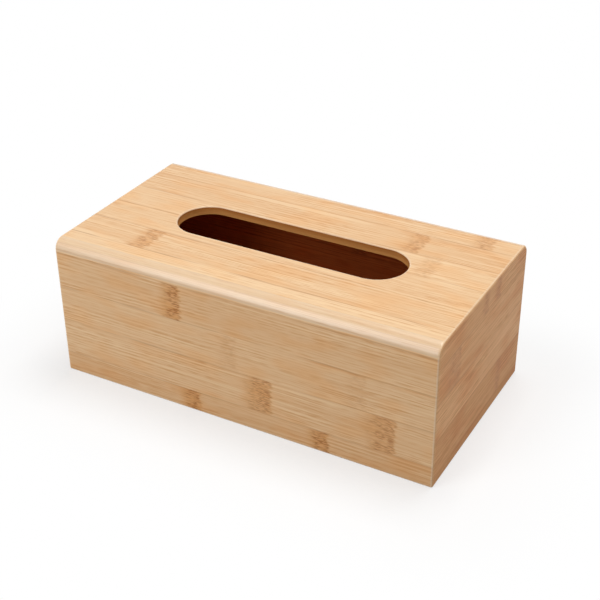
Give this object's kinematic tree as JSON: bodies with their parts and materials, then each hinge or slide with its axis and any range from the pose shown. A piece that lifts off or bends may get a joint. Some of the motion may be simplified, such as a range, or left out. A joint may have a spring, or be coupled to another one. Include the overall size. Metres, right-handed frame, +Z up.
{
  "type": "tissue box cover",
  "caption": "Rectangular bamboo tissue box cover of edge-glued strips, with rounded long top edges, a round-ended slot for the tissues and a base that slides out for refilling.",
  "frame": {"origin": "middle of the underside, on the surface that the box stands on", "axes": "+X along the length to the right, +Y to the back, +Z up through the slotted top"},
  "size_m": [0.23, 0.12, 0.085],
  "materials": {
    "case_bamboo": "carbonised caramel bamboo strips under a clear satin lacquer",
    "base_bamboo": "bamboo strips, sanded, thin clear lacquer"
  },
  "bodies": {
    "case": {"top_strip_1": "case_bamboo", "top_strip_2": "case_bamboo", "top_strip_3": "case_bamboo", "top_strip_4": "case_bamboo", "top_strip_5": "case_bamboo", "top_strip_6": "case_bamboo", "front_strip_1": "case_bamboo", "front_strip_2": "case_bamboo", "front_strip_3": "case_bamboo", "front_strip_4": "case_bamboo", "front_strip_5": "case_bamboo", "back_strip_1": "case_bamboo", "back_strip_2": "case_bamboo", "back_strip_3": "case_bamboo", "back_strip_4": "case_bamboo", "back_strip_5": "case_bamboo", "right_end_strip_1": "case_bamboo", "right_end_strip_2": "case_bamboo", "right_end_strip_3": "case_bamboo", "right_end_strip_4": "case_bamboo", "right_end_strip_5": "case_bamboo", "left_end_strip_1": "case_bamboo", "left_end_strip_2": "case_bamboo", "left_end_strip_3": "case_bamboo", "left_end_strip_4": "case_bamboo"},
    "base": {"base_strip_1": "base_bamboo", "base_strip_2": "base_bamboo", "base_strip_3": "base_bamboo", "base_strip_4": "base_bamboo", "base_strip_5": "base_bamboo", "base_strip_6": "base_bamboo", "base_rail": "base_bamboo"}
  },
  "joints": [
    {"name": "base_slide", "type": "slide", "parent": "case", "child": "base", "axis": [-1, 0, 0], "range_m": [0, 0.23]}
  ]
}
